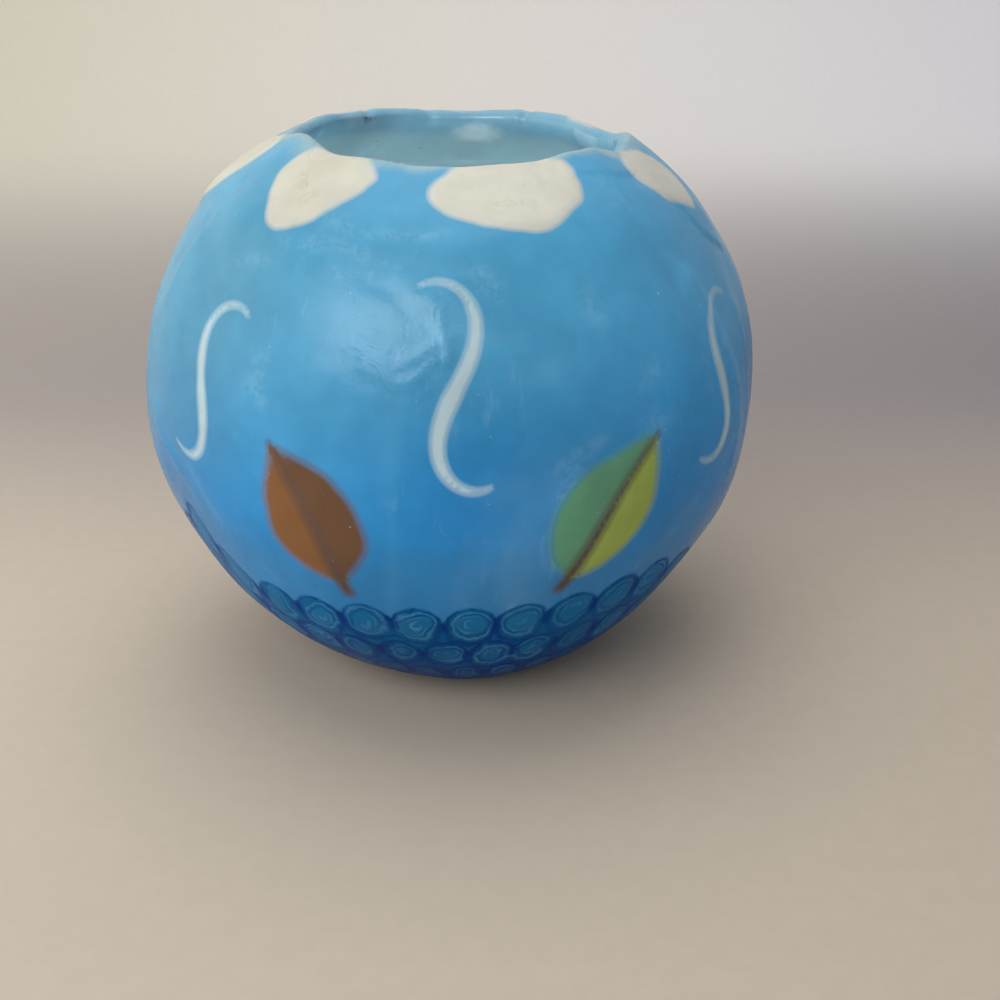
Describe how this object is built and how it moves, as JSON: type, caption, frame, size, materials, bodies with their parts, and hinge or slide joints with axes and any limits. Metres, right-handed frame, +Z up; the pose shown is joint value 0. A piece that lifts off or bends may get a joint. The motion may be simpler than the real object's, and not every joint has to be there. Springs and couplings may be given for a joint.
{
  "type": "ball candle lantern",
  "caption": "Hollow ball-shaped wax candle with an open uneven mouth, inlaid coloured wax slices, a flat foot and a lift-out tealight inside.",
  "frame": {"origin": "centre of the bounding box's underside, which is the flat foot the candle stands on", "axes": "+Z up through the mouth; the side seen in the picture faces -Y; +X is the viewer's right"},
  "size_m": [0.0996, 0.0998, 0.0901],
  "materials": {
    "core_wax": "dull bare wax, coloured through, slightly translucent",
    "sky_wax": "satin, hand-smoothed, faintly mottled, slightly translucent",
    "base_wax": "satin deep blue wax, scuffed under the foot",
    "white_wax": "satin cream-white wax with faint smudges, edges softened by the clear-blue skin",
    "brown_wax": "satin brown wax",
    "amber_wax": "satin orange-brown wax",
    "umber_wax": "satin dark orange-brown wax",
    "green_wax": "satin green wax",
    "lime_wax": "satin yellow-green wax",
    "coral_wax": "satin red-orange wax",
    "cream_wax": "satin cream wax",
    "wave_wax": "satin blue wax with darker blue arcs",
    "deep_wave_wax": "satin deeper blue wax with darker blue arcs",
    "cup_aluminium": "thin pressed aluminium, bright",
    "tealight_wax": "white paraffin, semi-matt",
    "sustainer_steel": "tinned steel",
    "wick_cotton": "braided cotton, waxed"
  },
  "bodies": {
    "shell": {"core_wall": "core_wax", "sky_veneer": "sky_wax", "base_cap": "base_wax", "white_petal_1": "white_wax", "white_petal_2": "white_wax", "white_petal_3": "white_wax", "white_petal_4": "white_wax", "white_petal_5": "white_wax", "white_petal_6": "white_wax", "white_petal_7": "white_wax", "white_scroll_1": "white_wax", "white_scroll_2": "white_wax", "white_scroll_3": "white_wax", "white_scroll_4": "white_wax", "white_scroll_5": "white_wax", "white_scroll_6": "white_wax", "leaf_1_midrib": "brown_wax", "leaf_1_blade_left": "amber_wax", "leaf_1_blade_right": "umber_wax", "leaf_2_midrib": "brown_wax", "leaf_2_blade_left": "green_wax", "leaf_2_blade_right": "lime_wax", "leaf_3_midrib": "brown_wax", "leaf_3_blade_left": "coral_wax", "leaf_3_blade_right": "cream_wax", "leaf_4_midrib": "brown_wax", "leaf_4_blade_left": "green_wax", "leaf_4_blade_right": "lime_wax", "leaf_5_midrib": "brown_wax", "leaf_5_blade_left": "amber_wax", "leaf_5_blade_right": "umber_wax", "leaf_6_midrib": "brown_wax", "leaf_6_blade_left": "coral_wax", "leaf_6_blade_right": "cream_wax", "wave_strip_upper_1": "wave_wax", "wave_strip_upper_2": "wave_wax", "wave_strip_upper_3": "wave_wax", "wave_strip_upper_4": "wave_wax", "wave_strip_middle_1": "deep_wave_wax", "wave_strip_middle_2": "deep_wave_wax", "wave_strip_middle_3": "deep_wave_wax", "wave_strip_middle_4": "deep_wave_wax", "wave_strip_lower_1": "deep_wave_wax", "wave_strip_lower_2": "deep_wave_wax", "wave_strip_lower_3": "deep_wave_wax", "wave_strip_lower_4": "deep_wave_wax"},
    "tealight": {"tealight_cup": "cup_aluminium", "tealight_wax": "tealight_wax", "wick_sustainer": "sustainer_steel", "wick": "wick_cotton"}
  },
  "joints": [
    {"name": "tealight_lift", "type": "slide", "parent": "shell", "child": "tealight", "axis": [0, 0, 1], "range_m": [0, 0.09]}
  ]
}
